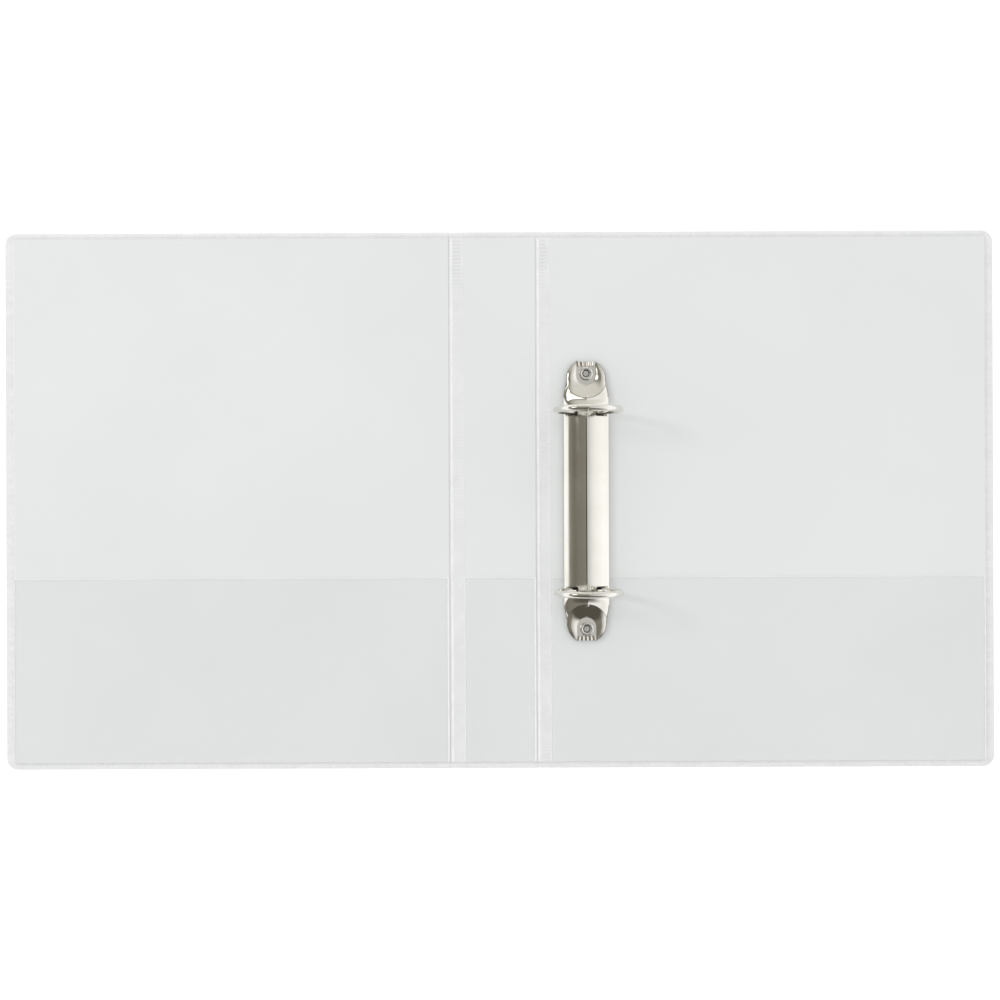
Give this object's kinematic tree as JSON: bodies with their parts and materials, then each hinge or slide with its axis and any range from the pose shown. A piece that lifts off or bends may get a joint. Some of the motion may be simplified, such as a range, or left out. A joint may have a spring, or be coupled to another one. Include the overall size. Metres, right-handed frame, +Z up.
{
  "type": "ring binder",
  "caption": "Film-covered ring binder lying open: hinged front cover, spine and back cover, with a riveted metal mechanism whose round rings open sideways.",
  "frame": {"origin": "under the middle of the open spread, on the surface that the binder lies on", "axes": "+X towards the free edge of the back cover, +Y towards the top edge, +Z up, out of the inside of the covers"},
  "size_m": [0.444, 0.241, 0.0353],
  "materials": {
    "white_film": "satin",
    "clear_film": "gloss",
    "grey_board": "matte",
    "nickel": "polished",
    "blade_steel": "satin",
    "rivet_steel": "satin"
  },
  "bodies": {
    "back_cover": {"back_outer_overlay": "clear_film", "back_outer_film": "white_film", "back_board": "grey_board", "back_inner_liner": "white_film", "back_inner_pocket": "clear_film", "back_hinge_web": "white_film", "ring_housing": "nickel", "upper_rivet": "rivet_steel", "lower_rivet": "rivet_steel"},
    "spine": {"spine_outer_overlay": "clear_film", "spine_outer_film": "white_film", "spine_board": "grey_board", "spine_inner_liner": "white_film", "spine_inner_pocket": "clear_film", "front_hinge_web": "white_film"},
    "front_cover": {"front_outer_overlay": "clear_film", "front_outer_film": "white_film", "front_board": "grey_board", "front_inner_liner": "white_film", "front_inner_pocket": "clear_film"},
    "left_ring": {"left_carrier_blade": "blade_steel", "upper_left_ring_half": "nickel", "lower_left_ring_half": "nickel"},
    "right_ring": {"right_carrier_blade": "blade_steel", "upper_right_ring_half": "nickel", "lower_right_ring_half": "nickel"}
  },
  "joints": [
    {"name": "spine_hinge", "type": "hinge", "parent": "back_cover", "child": "spine", "pos_m": [0.0169, 0, 0.00065], "axis": [0, 1, 0], "range_deg": [-90, 90]},
    {"name": "cover_hinge", "type": "hinge", "parent": "spine", "child": "front_cover", "pos_m": [-0.02205, 0, 0.00065], "axis": [0, 1, 0], "range_deg": [-90, 90]},
    {"name": "left_ring_hinge", "type": "hinge", "parent": "back_cover", "child": "left_ring", "pos_m": [0.0298, -0.0007, 0.0048], "axis": [0, -1, 0], "range_deg": [0, 12]},
    {"name": "right_ring_hinge", "type": "hinge", "parent": "back_cover", "child": "right_ring", "pos_m": [0.0478, -0.0007, 0.0048], "axis": [0, 1, 0], "range_deg": [0, 12]}
  ],
  "couplings": [
    {"joint": "right_ring_hinge", "follows": "left_ring_hinge", "ratio": 1}
  ]
}
